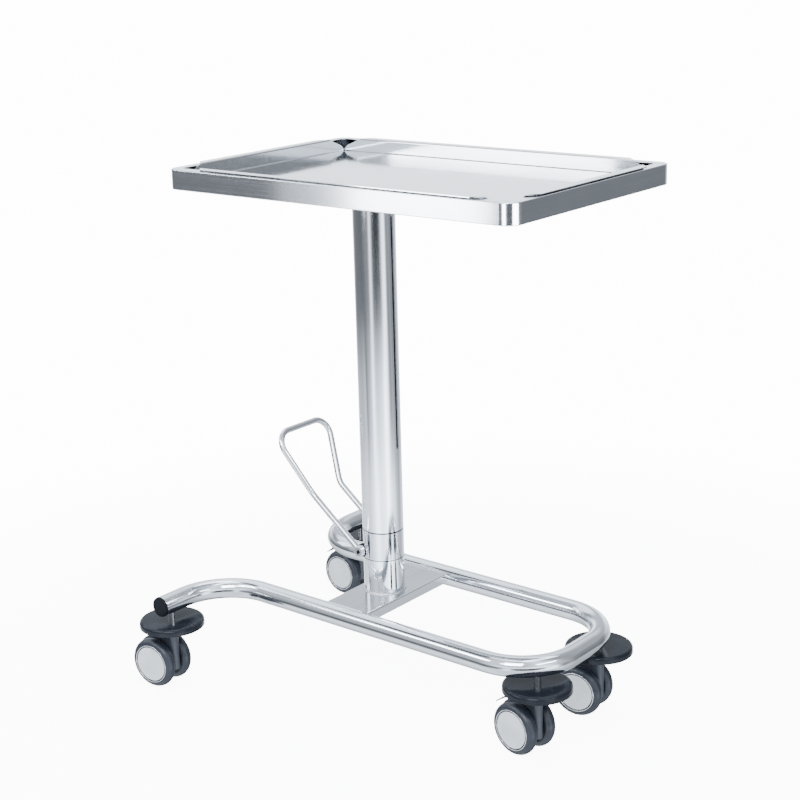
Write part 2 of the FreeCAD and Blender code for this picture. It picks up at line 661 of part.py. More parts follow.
def make_yoke(has_brake):
    """The nylon fork blade between the wheels, with a round neck about the swivel axis."""
    depth = 2 * YOKE_R
    start = Vector(-TRAIL, -YOKE_R, WHEEL_R)
    neck = box(-YOKE_R, YOKE_R, -YOKE_R, YOKE_R, YOKE_FOOT, YOKE_TOP)
    hood = Part.makeCylinder(HOOD_R, depth, start, Y_AXIS)
    hood = hood.common(box(-TRAIL - HOOD_R, YOKE_R, -YOKE_R, YOKE_R, HOOD_FOOT_Z, YOKE_TOP))
    hub = Part.makeCylinder(HUB_R + 1, depth, start, Y_AXIS)
    web = box(-TRAIL - HUB_R, 0, -YOKE_R, YOKE_R, WHEEL_R - HUB_R / 2, HOOD_FOOT_Z + 1)
    blade = neck.fuse([hood, hub, web]).removeSplitter()
    plan = Part.makeCylinder(YOKE_R, YOKE_TOP, ORIGIN, Z_AXIS)
    plan = plan.fuse(box(-TRAIL - HOOD_R, 0, -YOKE_R, YOKE_R, 0, YOKE_TOP))
    flare_foot = Vector(0, 0, YOKE_FLARE_Z0)
    flare = Part.makeCone(YOKE_R, YOKE_FLARE_R, YOKE_TOP - YOKE_FLARE_Z0, flare_foot, Z_AXIS)
    yoke = blade.common(plan).fuse(flare)
    yoke = yoke.cut(Part.makeCylinder(SPINDLE_R + RUNNING, YOKE_TOP, Vector(0, 0, SPINDLE_Z0 - 1), Z_AXIS))
    yoke = yoke.cut(cross_cylinder(AXLE_R, -YOKE_R, YOKE_R, -TRAIL, WHEEL_R))
    if has_brake:
        x, z = BRAKE_PIVOT
        yoke = yoke.cut(box(x - 30, x + 7, -BRAKE_SLOT_Y, BRAKE_SLOT_Y, z - 9, YOKE_TOP))
        yoke = yoke.cut(cross_cylinder(BRAKE_PIN_R + RUNNING, -YOKE_R, YOKE_R, x, z))
    return yoke.removeSplitter()


def make_axle():
    return cross_cylinder(AXLE_R, -AXLE_END_Y, AXLE_END_Y, -TRAIL, WHEEL_R)


def make_caster_stem():
    """Spindle in the yoke, collar under the bumper and chromed stem into the tube."""
    collar_z0 = YOKE_TOP + 0.4
    spindle = Part.makeCylinder(SPINDLE_R, collar_z0 - SPINDLE_Z0, Vector(0, 0, SPINDLE_Z0), Z_AXIS)
    collar = Part.makeCylinder(COLLAR_R, BUMPER_Z0 + 1 - collar_z0, Vector(0, 0, collar_z0), Z_AXIS)
    stem = Part.makeCylinder(STEM_R, TUBE_Z - BUMPER_Z0 - 1, Vector(0, 0, BUMPER_Z0 + 1), Z_AXIS)
    return spindle.fuse([collar, stem]).removeSplitter()


def make_bumper():
    """A rubber disc with a rounded shoulder, hollow below."""
    height = BUMPER_Z1 - BUMPER_Z0
    disc = cylinder(BUMPER_R, BUMPER_Z0, BUMPER_Z1, 0)
    disc = disc.makeFillet(BUMPER_ROUND, level_edges(disc, BUMPER_Z1))
    hollow = cylinder(BUMPER_R - BUMPER_WALL, BUMPER_Z0, BUMPER_Z0 + height / 2, 0)
    hub = cylinder(COLLAR_R + BUMPER_WALL, BUMPER_Z0, BUMPER_Z1, 0)
    disc = disc.cut(hollow).fuse(hub)
    return disc.cut(make_caster_stem()).removeSplitter()


def make_stem_socket(bore, x, y):
    """A threaded plug inside the tube that the stem screws into."""
    plug = cylinder(SOCKET_INSERT_R, TUBE_Z - TUBE_R, TUBE_Z + 4, x, y).common(bore)
    return plug.cut(cylinder(STEM_R, TUBE_Z - TUBE_R, TUBE_Z, x, y))


def make_brake_lever():
    """A thin foot blade over the wheels, with a lug on a pin in the hood."""
    x, z = BRAKE_PIVOT
    half = BRAKE_HALF_WIDTH
    root = (x - 1, z + 9.5)
    knee = (x - 17, z + 2.5)
    tip = (x - 33, z - 9.5)
    t = BRAKE_BLADE_T
    blade = polygon_prism([(root[0], -half, root[1]), (knee[0], -half, knee[1]), (tip[0], -half, tip[1]),
                           (tip[0] + 1, -half, tip[1] - t / 2), (knee[0] + 1, -half, knee[1] - t),
                           (root[0], -half, root[1] - t)], Vector(0, 2 * half, 0))
    lug = polygon_prism([(x + 4, -BRAKE_LUG_Y, z + 7), (x - 12, -BRAKE_LUG_Y, z + 2.5),
                         (x - 8, -BRAKE_LUG_Y, z - 4), (x + 4, -BRAKE_LUG_Y, z - 4)],
                        Vector(0, 2 * BRAKE_LUG_Y, 0))
    pin = cross_cylinder(BRAKE_PIN_R, -YOKE_R, YOKE_R, x, z)
    return blade.fuse([lug, pin]).removeSplitter()


# ---- write every node ----
def save_base():
    outer = base_route(TUBE_R)
    bore = base_route(TUBE_R - TUBE_WALL)
    save("base_tube", make_base_tube(outer, bore))
    cap = make_end_cap()
    save("end_caps", cap, mirrored(cap))
    save("cross_plate", make_cross_plate(outer))
    save("column_stub", make_column_stub())
    spots = [(x, y) for x, y, _, _ in CASTERS.values()]
    save("stem_sockets", *[make_stem_socket(bore, x, y) for x, y in spots])
    save("caster_stems", *[place(make_caster_stem(), name) for name in CASTERS])
    for side in ("left", "right"):
        names = [name for name in CASTERS if name.endswith(side)]
        save("bumpers_" + side, *[place(make_bumper(), name) for name in names])


def save_pump():
    bush = make_shaft_bush()
    save("pump_housing", make_pump_housing())
    save("shaft_bushes", bush, mirrored(bush))
    save("pedal_lever", make_pedal_lever())
    save("pedal_shaft", make_pedal_shaft())
    save("pump_cam", make_pump_cam())
    save("pump_plunger", make_plunger())
    save("plunger_spring", make_plunger_spring())
    save("hydraulic_cylinder", ring(CYLINDER_R, BORE_R, SPIGOT_Z1, CYLINDER_Z1))
    save("cylinder_gland", ring(CYLINDER_R, ROD_R + RUNNING, CYLINDER_Z1, GLAND_Z1))
    save("piston", make_piston())
    save("piston_seal", ring(BORE_R - RUNNING, SEAL_R_IN, SEAL_Z0, SEAL_Z1))
    save("piston_rod", make_piston_rod())


def save_column():
    save("guide_tube", ring(GUIDE_R, SPIGOT_R, HOUSING_Z1, GUIDE_Z1))
    save("upper_guide_bush", make_upper_bush())
    save("guide_key", make_guide_key())
    rivets = make_rivets()
    save("column_shroud", drilled(make_shroud(), rivets))
    save("lower_guide_bush", ring(SHROUD_R_IN, GUIDE_R + RUNNING, SHROUD_Z0, LOWER_BUSH_Z1))
    save("stop_pad", drilled(make_stop_pad(), rivets))
    save("stop_rivets", *rivets)
    save("column_head", make_column_head())


def save_tray():
    save("support_plate", make_support_plate())
    save("support_bars", *make_support_bars())
    save("head_screws", *make_head_screws())
    save("tray_frame", make_tray_frame())
    save("tray_pan", make_tray_pan())


def save_caster(name):
    wheel = make_wheel()
    cover = make_wheel_cover()
    has_brake = CASTERS[name][3]
    save("yoke_" + name, place(make_yoke(has_brake), name))
    save("axle_" + name, place(make_axle(), name))
    for side, flip in (("near", True), ("far", False)):
        save("wheel_%s_%s" % (name, side), place(mirrored(wheel) if flip else wheel, name))
        save("cover_%s_%s" % (name, side), place(mirrored(cover) if flip else cover, name))
    if has_brake:
        save("brake_lever_" + name, place(make_brake_lever(), name))


os.makedirs("parts", exist_ok=True)
save_base()
save_pump()
save_column()
save_tray()
for caster in CASTERS:
    save_caster(caster)
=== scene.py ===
import json
import math

import bmesh
import bpy
from mathutils import Matrix, Vector


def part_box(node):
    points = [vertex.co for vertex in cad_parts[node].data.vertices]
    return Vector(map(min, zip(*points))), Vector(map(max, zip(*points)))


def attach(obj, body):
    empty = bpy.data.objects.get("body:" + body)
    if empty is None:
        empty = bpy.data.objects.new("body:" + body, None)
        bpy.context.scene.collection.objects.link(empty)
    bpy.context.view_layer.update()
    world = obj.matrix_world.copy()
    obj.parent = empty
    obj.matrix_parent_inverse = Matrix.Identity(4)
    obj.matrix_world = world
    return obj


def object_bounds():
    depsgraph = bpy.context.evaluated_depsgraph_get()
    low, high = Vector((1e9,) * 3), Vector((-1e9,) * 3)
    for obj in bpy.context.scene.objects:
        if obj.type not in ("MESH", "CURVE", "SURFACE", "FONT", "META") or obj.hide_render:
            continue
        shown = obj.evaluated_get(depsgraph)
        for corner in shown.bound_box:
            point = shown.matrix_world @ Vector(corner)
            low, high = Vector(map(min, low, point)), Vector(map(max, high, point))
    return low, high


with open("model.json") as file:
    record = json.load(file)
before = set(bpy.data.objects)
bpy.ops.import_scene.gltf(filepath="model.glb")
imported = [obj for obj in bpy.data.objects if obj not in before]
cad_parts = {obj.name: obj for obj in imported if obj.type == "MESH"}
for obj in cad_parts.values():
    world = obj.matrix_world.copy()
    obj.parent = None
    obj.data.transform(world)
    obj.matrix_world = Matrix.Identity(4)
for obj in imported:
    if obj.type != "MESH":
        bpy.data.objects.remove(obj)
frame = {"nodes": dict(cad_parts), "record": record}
CAD_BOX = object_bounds()

MM = 0.001
NODES = frame["nodes"]
JOINTS = {joint["name"]: joint for joint in frame["record"]["behaviour"]["joints"]}

# The colour sockets of a Mix node, which have the same names as those of its other kinds.
MIX_A, MIX_B, MIX_RESULT = 6, 7, 2
# A noise texture seldom leaves this range.
NOISE_LOW, NOISE_HIGH = 0.3, 0.7
EVEN = (1.0, 1.0, 1.0)


# ---------------------------------------------------------------- shader helpers
class Shader:
    """A node material around one Principled shader."""

    def __init__(self, name, color, metallic, roughness):
        self.material = bpy.data.materials.new(name)
        self.material.use_nodes = True
        self.tree = self.material.node_tree
        self.bsdf = self.tree.nodes["Principled BSDF"]
        self.bsdf.inputs["Base Color"].default_value = (*color, 1.0)
        self.bsdf.inputs["Metallic"].default_value = metallic
        self.bsdf.inputs["Roughness"].default_value = roughness

    def node(self, kind, **settings):
        made = self.tree.nodes.new(kind)
        for key, value in settings.items():
            setattr(made, key, value)
        return made

    def link(self, source, target):
        self.tree.links.new(source, target)

    def noise(self, scale, stretch, detail, rough=0.55):
        """Noise fixed to the object; a small stretch value draws it out along that axis."""
        coordinates = self.node("ShaderNodeTexCoord")
        mapping = self.node("ShaderNodeMapping")
        mapping.inputs["Scale"].default_value = stretch
        self.link(coordinates.outputs["Object"], mapping.inputs["Vector"])
        texture = self.node("ShaderNodeTexNoise")
        texture.inputs["Scale"].default_value = scale
        texture.inputs["Detail"].default_value = detail
        texture.inputs["Roughness"].default_value = rough
        self.link(mapping.outputs["Vector"], texture.inputs["Vector"])
        return texture.outputs["Fac"]

    def spread(self, fac, low, high, start=NOISE_LOW, end=NOISE_HIGH):
        """The factor carried from start..end to low..high."""
        ramp = self.node("ShaderNodeMapRange")
        ramp.inputs["From Min"].default_value = start
        ramp.inputs["From Max"].default_value = end
        ramp.inputs["To Min"].default_value = low
        ramp.inputs["To Max"].default_value = high
        self.link(fac, ramp.inputs["Value"])
        return ramp.outputs["Result"]

    def total(self, first, second):
        add = self.node("ShaderNodeMath", operation="ADD")
        self.link(first, add.inputs[0])
        self.link(second, add.inputs[1])
        return add.outputs["Value"]

    def rough_from(self, *facs):
        """Roughness is the sum of these outputs."""
        value = facs[0]
        for fac in facs[1:]:
            value = self.total(value, fac)
        self.link(value, self.bsdf.inputs["Roughness"])

    def tint(self, fac, dark, light):
        """Base colour runs between two colours with the factor."""
        ramp = self.node("ShaderNodeValToRGB")
        ramp.color_ramp.elements[0].position = NOISE_LOW
        ramp.color_ramp.elements[0].color = (*dark, 1.0)
        ramp.color_ramp.elements[1].position = NOISE_HIGH
        ramp.color_ramp.elements[1].color = (*light, 1.0)
        self.link(fac, ramp.inputs["Fac"])
        self.link(ramp.outputs["Color"], self.bsdf.inputs["Base Color"])

    def shade(self, lit, dark):
        """Painted shade: base colour falls to dark where the factor is nought."""
        mix = self.node("ShaderNodeMix", data_type="RGBA")
        self.link(lit, mix.inputs["Factor"])
        mix.inputs[MIX_A].default_value = (*dark, 1.0)
        self.link(self.bsdf.inputs["Base Color"].links[0].from_socket, mix.inputs[MIX_B])
        self.link(mix.outputs[MIX_RESULT], self.bsdf.inputs["Base Color"])

    def bump(self, fac, strength, distance):
        """Fine surface relief."""
        node = self.node("ShaderNodeBump")
        node.inputs["Strength"].default_value = strength
        node.inputs["Distance"].default_value = distance
        self.link(fac, node.inputs["Height"])
        self.link(node.outputs["Normal"], self.bsdf.inputs["Normal"])


# Noise scales are per metre and depths are in metres; tints multiply the colour, gloss adds to the roughness.
LINE_SCALE, LINE_DETAIL, LINE_ROUGH = 90.0, 4.0, 0.6
LINE_TINT = (0.97, 1.02)
LINE_DEPTH = 0.0003
SMEAR_SCALE, SMEAR_DETAIL = 9.0, 2.0
SMEAR_GLOSS = (-0.015, 0.03)
GRAIN_DETAIL, GRAIN_GLOSS, GRAIN_DEPTH = 2.0, 0.02, 0.0002
CLOUD_SCALE, CLOUD_DETAIL = 35.0, 3.0
CLOUD_GLOSS = (-0.05, 0.06)
CLOUD_TINT = (0.9, 1.1)


def scaled(color, share):
    return tuple(min(1.0, part * share) for part in color)


def polished(name, color, roughness, stretch, streak, bump):
    """Polished steel: fine lines along the polishing direction over faint smears."""
    made = Shader(name, color, 1.0, roughness)
    lines = made.noise(LINE_SCALE, stretch, LINE_DETAIL, LINE_ROUGH)
    smears = made.noise(SMEAR_SCALE, EVEN, SMEAR_DETAIL)
    made.rough_from(made.spread(lines, roughness - streak / 2, roughness + streak / 2),
                    made.spread(smears, *SMEAR_GLOSS))
    made.tint(lines, scaled(color, LINE_TINT[0]), scaled(color, LINE_TINT[1]))
    made.bump(lines, bump, LINE_DEPTH)
    return made


def moulded(name, color, roughness, grain=900.0, bump=0.08, ior=1.45):
    """Moulded plastic or rubber: fine grain and a little uneven gloss."""
    made = Shader(name, color, 0.0, roughness)
    made.bsdf.inputs["IOR"].default_value = ior
    fine = made.noise(grain, EVEN, GRAIN_DETAIL)
    cloud = made.noise(CLOUD_SCALE, EVEN, CLOUD_DETAIL)
    made.rough_from(made.spread(cloud, roughness + CLOUD_GLOSS[0], roughness + CLOUD_GLOSS[1]),
                    made.spread(fine, -GRAIN_GLOSS, GRAIN_GLOSS))
    made.tint(cloud, scaled(color, CLOUD_TINT[0]), scaled(color, CLOUD_TINT[1]))
    made.bump(fine, bump, GRAIN_DEPTH)
    return made


# ---------------------------------------------------------------- materials
STEEL = (0.79, 0.81, 0.85)
ALONG_Z = (1.0, 1.0, 0.03)
AROUND = (0.25, 0.25, 6.0)

tube_steel = polished("tube_steel", STEEL, 0.10, (0.3, 1.0, 1.0), streak=0.04, bump=0.02)
column_steel = polished("column_steel", STEEL, 0.085, ALONG_Z, streak=0.03, bump=0.03)
collar_steel = polished("collar_steel", (0.69, 0.71, 0.75), 0.10, AROUND, streak=0.04, bump=0.03)
rod_steel = polished("rod_steel", STEEL, 0.12, EVEN, streak=0.04, bump=0.02)
plate_steel = polished("plate_steel", STEEL, 0.16, (1.0, 0.05, 1.0), streak=0.06, bump=0.04)
band_steel = polished("band_steel", (0.77, 0.79, 0.83), 0.14, (0.03, 0.03, 9.0), streak=0.05, bump=0.03)
pan_steel = polished("pan_steel", (0.76, 0.78, 0.81), 0.08, (0.02, 2.0, 2.0), streak=0.04, bump=0.015)
plain_steel = polished("plain_steel", (0.50, 0.51, 0.53), 0.32, (1.0, 1.0, 0.2), streak=0.12, bump=0.08)
chrome = polished("bright_chrome", (0.90, 0.91, 0.93), 0.05, (1.0, 1.0, 0.2), streak=0.02, bump=0.01)
zinc = polished("zinc", (0.42, 0.42, 0.44), 0.40, EVEN, streak=0.15, bump=0.15)
weld = polished("weld", (0.62, 0.62, 0.64), 0.28, (2.0, 2.0, 2.0), streak=0.15, bump=0.3)
nylon = moulded("caster_nylon", (0.042, 0.047, 0.060), 0.34)
rubber = moulded("bumper_rubber", (0.011, 0.013, 0.018), 0.15, grain=700.0, bump=0.03, ior=1.25)
tread = moulded("tread", (0.018, 0.022, 0.032), 0.36, grain=600.0, bump=0.10)
ring_steel = polished("ring_steel", (0.80, 0.81, 0.83), 0.16, EVEN, streak=0.05, bump=0.02)
cover = moulded("cover_plastic", (0.68, 0.69, 0.71), 0.45, grain=1500.0, bump=0.05)
black = moulded("black_plastic", (0.004, 0.005, 0.008), 0.42, ior=1.2)
natural = moulded("natural_nylon", (0.62, 0.60, 0.54), 0.45)

TRAY_TURN = math.radians(0.8)
TRAY_SIZE = Vector((584.8, 383.0, 0.0)) * MM
TRAY_CORNER = 20.0 * MM
TRAY_SHEET = 1.2 * MM
# The painted shade of the inner walls fades in between these two depths below an outer face of the frame.
SKIN_FULL, SKIN_EDGE = 0.5 * TRAY_SHEET, 0.8 * TRAY_SHEET
# Painted shade: the dark base colour of the tray frame's inner walls.
PAINTED_INSIDE_SHADE = (0.035, 0.038, 0.045)


def paint_inside_shade(made):
    """Paints shade onto the frame's inner walls as a dark base colour; the outer skin, the top and the
    underside stay bright.
    """
    low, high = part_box("tray_frame")
    coordinates = made.node("ShaderNodeTexCoord")
    local = made.node("ShaderNodeMapping", vector_type="TEXTURE")
    local.inputs["Location"].default_value = ((low.x + high.x) / 2, (low.y + high.y) / 2, 0.0)
    local.inputs["Rotation"].default_value = (0.0, 0.0, TRAY_TURN)
    made.link(coordinates.outputs["Object"], local.inputs["Vector"])
    folded = made.node("ShaderNodeVectorMath", operation="ABSOLUTE")
    made.link(local.outputs["Vector"], folded.inputs[0])
    beyond = made.node("ShaderNodeVectorMath", operation="SUBTRACT")
    beyond.inputs[1].default_value = (TRAY_SIZE.x / 2 - TRAY_CORNER, TRAY_SIZE.y / 2 - TRAY_CORNER,
                                      high.z * 2)
    made.link(folded.outputs["Vector"], beyond.inputs[0])
    outward = made.node("ShaderNodeVectorMath", operation="MAXIMUM")
    made.link(beyond.outputs["Vector"], outward.inputs[0])
    reach = made.node("ShaderNodeVectorMath", operation="LENGTH")
    made.link(outward.outputs["Vector"], reach.inputs[0])
    skin = made.spread(reach.outputs["Value"], 0.0, 1.0, TRAY_CORNER - SKIN_EDGE, TRAY_CORNER - SKIN_FULL)
    parts = made.node("ShaderNodeSeparateXYZ")
    made.link(coordinates.outputs["Object"], parts.inputs["Vector"])
    top = made.spread(parts.outputs["Z"], 0.0, 1.0, high.z - SKIN_EDGE, high.z - SKIN_FULL)
    under = made.spread(parts.outputs["Z"], 1.0, 0.0, low.z + SKIN_FULL, low.z + SKIN_EDGE)
    lit = skin
    for face in (top, under):
        either = made.node("ShaderNodeMath", operation="MAXIMUM")
        made.link(lit, either.inputs[0])
        made.link(face, either.inputs[1])
        lit = either.outputs["Value"]
    # Painted shade: the inner walls take the dark colour.
    made.shade(lit, PAINTED_INSIDE_SHADE)


# The tray frame's steel gets painted shade on its inner walls.
paint_inside_shade(band_steel)

FINISH = {
    "base_tube": tube_steel, "end_caps": black, "cross_plate": plate_steel,
    "column_stub": column_steel, "stem_sockets": plain_steel, "caster_stems": chrome,
    "bumpers_left": rubber, "bumpers_right": rubber, "pump_housing": collar_steel,
    "shaft_bushes": black, "pedal_lever": rod_steel, "pedal_shaft": plain_steel,
    "pump_cam": plain_steel, "pump_plunger": plain_steel, "plunger_spring": plain_steel,
    "hydraulic_cylinder": plain_steel, "cylinder_gland": zinc, "piston": zinc,
    "piston_seal": black, "piston_rod": chrome, "guide_tube": plain_steel,
    "upper_guide_bush": natural, "guide_key": plain_steel, "column_shroud": column_steel,
    "lower_guide_bush": natural, "stop_pad": plain_steel, "stop_rivets": plain_steel,
    "column_head": zinc, "support_plate": plate_steel, "support_bars": plate_steel,
    "head_screws": chrome, "tray_frame": band_steel, "tray_pan": pan_steel,
}
PREFIX_FINISH = {"yoke": nylon, "axle": plain_steel, "wheel": tread, "cover": cover, "brake": nylon}

for name, node in NODES.items():
    finish = FINISH.get(name) or PREFIX_FINISH[name.split("_")[0]]
    node.data.materials.clear()
    node.data.materials.append(finish.material)


# ---------------------------------------------------------------- mesh helpers
def add_piece(name, work, material, body):
    """Turns a bmesh into a smooth-shaded piece that rides on a body."""
    bmesh.ops.recalc_face_normals(work, faces=work.faces)
    mesh = bpy.data.meshes.new(name)
    work.to_mesh(mesh)
    work.free()
    for face in mesh.polygons:
        face.use_smooth = True
    mesh.materials.append(material.material)
    piece = bpy.data.objects.new(name, mesh)
    bpy.context.scene.collection.objects.link(piece)
    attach(piece, body)


def rings_to_faces(work, rings, closed):
    """Joins rows of vertices into a tube; open tubes get end faces."""
    count = len(rings)
    for index in range(count if closed else count - 1):
        here, there = rings[index], rings[(index + 1) % count]
        for side in range(len(here)):
            following = (side + 1) % len(here)
            work.faces.new((here[side], here[following], there[following], there[side]))
    if not closed:
        work.faces.new(list(reversed(rings[0])))
        work.faces.new(rings[-1])


def lathe(name, profile, origin, axis, material, body, segments):
    """A closed profile of (radius, height) turned about an axis."""
    work = bmesh.new()
    up = Vector(axis).normalized()
    side = up.orthogonal().normalized()
    other = up.cross(side)
    rings = []
    for step in range(segments):
        angle = 2.0 * math.pi * step / segments
        out = side * math.cos(angle) + other * math.sin(angle)
        rings.append([work.verts.new(Vector(origin) + out * radius + up * height)
                      for radius, height in profile])
    rings_to_faces(work, rings, True)
    add_piece(name, work, material, body)


# The ripples of a weld pool: their height as a share of the bead's radius, and their spacing.
RIPPLE_HEIGHT, RIPPLE_PITCH = 0.18, 0.0028
BEAD_SIDES = 10


def weld_bead(name, path, radius, closed, material, body):
    """A welding bead: a round strip along a level path, rippled like the weld pool."""
    work = bmesh.new()
    rings = []
    travelled = 0.0
    count = len(path)
    for index, point in enumerate(path):
        before = path[index - 1] if (closed or index) else point
        after = path[(index + 1) % count] if (closed or index + 1 < count) else point
        ahead = (after - before).normalized()
        if index:
            travelled += (point - path[index - 1]).length
        swell = radius * (1.0 + RIPPLE_HEIGHT * math.sin(2.0 * math.pi * travelled / RIPPLE_PITCH))
        side = ahead.cross(Vector((0.0, 0.0, 1.0)))
        side.normalize()
        up = side.cross(ahead)
        rings.append([work.verts.new(point + (side * math.cos(a) + up * math.sin(a)) * swell)
                      for a in (2.0 * math.pi * k / BEAD_SIDES for k in range(BEAD_SIDES))])
    rings_to_faces(work, rings, closed)
    add_piece(name, work, material, body)


def circle_path(centre, axis, radius, count):
    """Points evenly spaced round a circle."""
    up = Vector(axis).normalized()
    side = up.orthogonal().normalized()
    other = up.cross(side)
    centre = Vector(centre)
    return [centre + (side * math.cos(a) + other * math.sin(a)) * radius
            for a in (2.0 * math.pi * k / count for k in range(count))]


def line_path(start, end, count):
    """Points evenly spaced from start to end, both included."""
    start, end = Vector(start), Vector(end)
    return [start.lerp(end, k / (count - 1)) for k in range(count)]


# ---------------------------------------------------------------- added pieces
# All in metres. The wheel face is measured along the axle from the spin joint.
WHEEL_FACE = 0.0271
WHEEL_BAND_DEPTH = 0.0008
# Bands on a wheel's outer face: name, inner and outer radius, rise above the face and finish.
# The black groove band is painted shade for the shaded groove; the ring is bright steel.
WHEEL_BANDS = (("groove_shade", 0.0262, 0.0284, -0.0001, black), ("ring", 0.0281, 0.0294, 0.0002, ring_steel))
SEAM_DEPTH, SEAM_PROUD, SEAM_HALF_HEIGHT = 0.0006, 0.0002, 0.0005
SOCKET_RADIUS, SOCKET_DEPTH, SOCKET_PROUD = 0.0026, 0.0004, 0.0002
PLATE_WELD_Y, PLATE_WELD_RADIUS = 0.0942, 0.0016
PLATE_WELD_INSET, PLATE_WELD_SINK = 0.002, 0.0002
STUB_WELD_RADIUS, STUB_WELD_RISE, STUB_WELD_OUT = 0.0014, 0.0004, 0.0006


def add_wheel_bands():
    """The groove, painted black as its shade, and the bright ring between each wheel's cover and its tread.
    """
    for name, joint in JOINTS.items():
        if not name.startswith("spin_"):
            continue
        outward = 1.0 if name.endswith("far") else -1.0
        axis = Vector(joint["axis"]) * outward
        centre = Vector(joint["pos_m"])
        for label, inner, outer, rise, finish in WHEEL_BANDS:
            bevel = (outer - inner) / 4
            top, root = WHEEL_FACE + rise, WHEEL_FACE - WHEEL_BAND_DEPTH
            profile = [(inner, root), (inner, top - bevel), (inner + bevel, top),
                       (outer - bevel, top), (outer, top - bevel), (outer, root)]
            lathe(label + name[len("spin"):], profile, centre, axis, finish, joint["child"], segments=96)


def add_seam_shade_rings():
    """Black rings painted in as the shade of the joint gaps above and below the pump housing."""
    stub_low, stub_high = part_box("column_stub")
    middle = (stub_low + stub_high) / 2
    radius = (stub_high.x - stub_low.x) / 2
    for name, z in (("seam_low", stub_high.z), ("seam_high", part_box("column_shroud")[0].z)):
        profile = [(radius - SEAM_DEPTH, -SEAM_HALF_HEIGHT), (radius + SEAM_PROUD, -SEAM_HALF_HEIGHT),
                   (radius + SEAM_PROUD, SEAM_HALF_HEIGHT), (radius - SEAM_DEPTH, SEAM_HALF_HEIGHT)]
        # Painted shade: a black ring where the joint's gap lies in shade.
        lathe(name, profile, (middle.x, middle.y, z), (0, 0, 1), black, "base", segments=128)


def add_painted_socket_shade():
    """A black hexagon painted as the shade in the six-sided recess in the end of the pedal's shaft."""
    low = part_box("pedal_shaft")[0]
    pivot = Vector(JOINTS["pedal_swing"]["pos_m"])
    profile = [(0.0, -SOCKET_DEPTH), (SOCKET_RADIUS, -SOCKET_DEPTH),
               (SOCKET_RADIUS, SOCKET_PROUD), (0.0, SOCKET_PROUD)]
    # Painted shade: black stands for the shaded hollow of the recess.
    lathe("pivot_socket", profile, (pivot.x, low.y, pivot.z), (0, -1, 0), black, "pedal", segments=6)


def add_welds():
    """Beads along the two edges of the cross plate and round the foot of the stub."""
    low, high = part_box("cross_plate")
    top = high.z
    for side, sign in (("near", -1.0), ("far", 1.0)):
        path = line_path((low.x + PLATE_WELD_INSET, sign * PLATE_WELD_Y, top - PLATE_WELD_SINK),
                         (high.x - PLATE_WELD_INSET, sign * PLATE_WELD_Y, top - PLATE_WELD_SINK), count=140)
        weld_bead("plate_weld_" + side, path, PLATE_WELD_RADIUS, False, weld, "base")
    low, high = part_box("column_stub")
    middle = (low + high) / 2
    radius = (high.x - low.x) / 2
    path = circle_path((middle.x, middle.y, low.z + STUB_WELD_RISE), (0, 0, 1), radius + STUB_WELD_OUT,
                       count=260)
    weld_bead("stub_weld", path, STUB_WELD_RADIUS, True, weld, "base")


add_wheel_bands()
add_seam_shade_rings()
add_painted_socket_shade()
add_welds()


# ---------------------------------------------------------------- camera, floor and light
CAMERA_AT = Vector((1.46481, -1.78593, 1.11685))
CAMERA_AZIMUTH = math.radians(39.37)
CAMERA_ELEVATION = math.radians(16.28)
CAMERA_ROLL = math.radians(-1.51)
LENS_MM, SENSOR_MM = 75.04, 36.0
VIEW_END = 100.0

FLOOR_RADIUS, FLOOR_DROP, FLOOR_ROUGHNESS = 30.0, 0.0005, 0.8
FLOOR_COLOR = (0.90, 0.90, 0.905)
FLOOR_FADE = (0.6, 1.3)
BACKDROP_COLOR = (14.5, 14.5, 14.6)
FLOOR_GLOW = 11.0
LIGHT_COLOR = (0.93, 0.98, 1.04)
STUDIO_TINT = (0.91, 0.98, 1.06)
# How bright the studio is at each heading, in degrees from +X towards +Y, from the ground up. The
# levels are set for what the polished steel mirrors in the front view.
DEEP_GROUND = [(-180.0, 1.2), (-130.0, 1.9), (-90.0, 1.5), (-50.0, 1.6), (0.0, 1.6), (60.0, 0.7),
               (130.0, 0.5), (180.0, 1.2)]
NEAR_GROUND = [(-180.0, 1.5), (-150.0, 1.9), (-138.0, 2.0), (-130.0, 1.9), (-118.0, 2.0), (-100.0, 3.0),
               (-80.0, 4.9), (-70.0, 5.2), (-55.0, 3.9), (-35.0, 4.4), (-14.0, 6.6), (5.0, 3.6),
               (20.0, 2.8), (45.0, 1.1), (60.0, 0.9), (100.0, 2.0), (130.0, 3.0), (180.0, 1.5)]
LOWER_WALLS = [(-180.0, 1.0), (-151.0, 0.95), (-130.0, 1.3), (-119.0, 0.42), (-110.0, 0.85),
               (-94.0, 1.5), (-84.0, 3.6), (-79.0, 4.4), (-73.0, 3.0), (-67.0, 2.2), (-58.0, 1.95),
               (-45.0, 2.4), (-34.0, 2.9), (-22.0, 4.8), (-14.0, 6.3), (-6.0, 4.4), (0.0, 3.2), (6.0, 1.6),
               (10.0, 0.85), (19.0, 0.45), (25.0, 0.6), (30.0, 0.70), (40.0, 0.48), (48.0, 0.8),
               (60.0, 0.40), (90.0, 1.2), (125.0, 2.6), (150.0, 2.0), (180.0, 1.0)]
MIDDLE_WALLS = [(-180.0, 0.27), (-166.0, 0.22), (-145.0, 0.20), (-130.0, 0.17), (-118.0, 0.21),
                (-103.0, 0.28), (-95.0, 0.30), (-87.0, 0.60), (-80.0, 2.1), (-74.0, 2.0), (-69.0, 0.70),
                (-63.0, 0.15), (-50.0, 0.06), (-35.0, 0.06), (-29.0, 0.12), (-20.0, 0.70), (-13.0, 2.6),
                (-6.0, 3.5), (1.0, 3.4), (7.0, 1.0), (13.0, 0.39), (20.0, 0.42), (27.0, 0.48), (38.0, 0.33),
                (47.0, 0.25), (55.0, 0.23), (64.0, 0.23), (78.0, 0.8), (110.0, 2.4), (150.0, 1.2),
                (180.0, 0.27)]
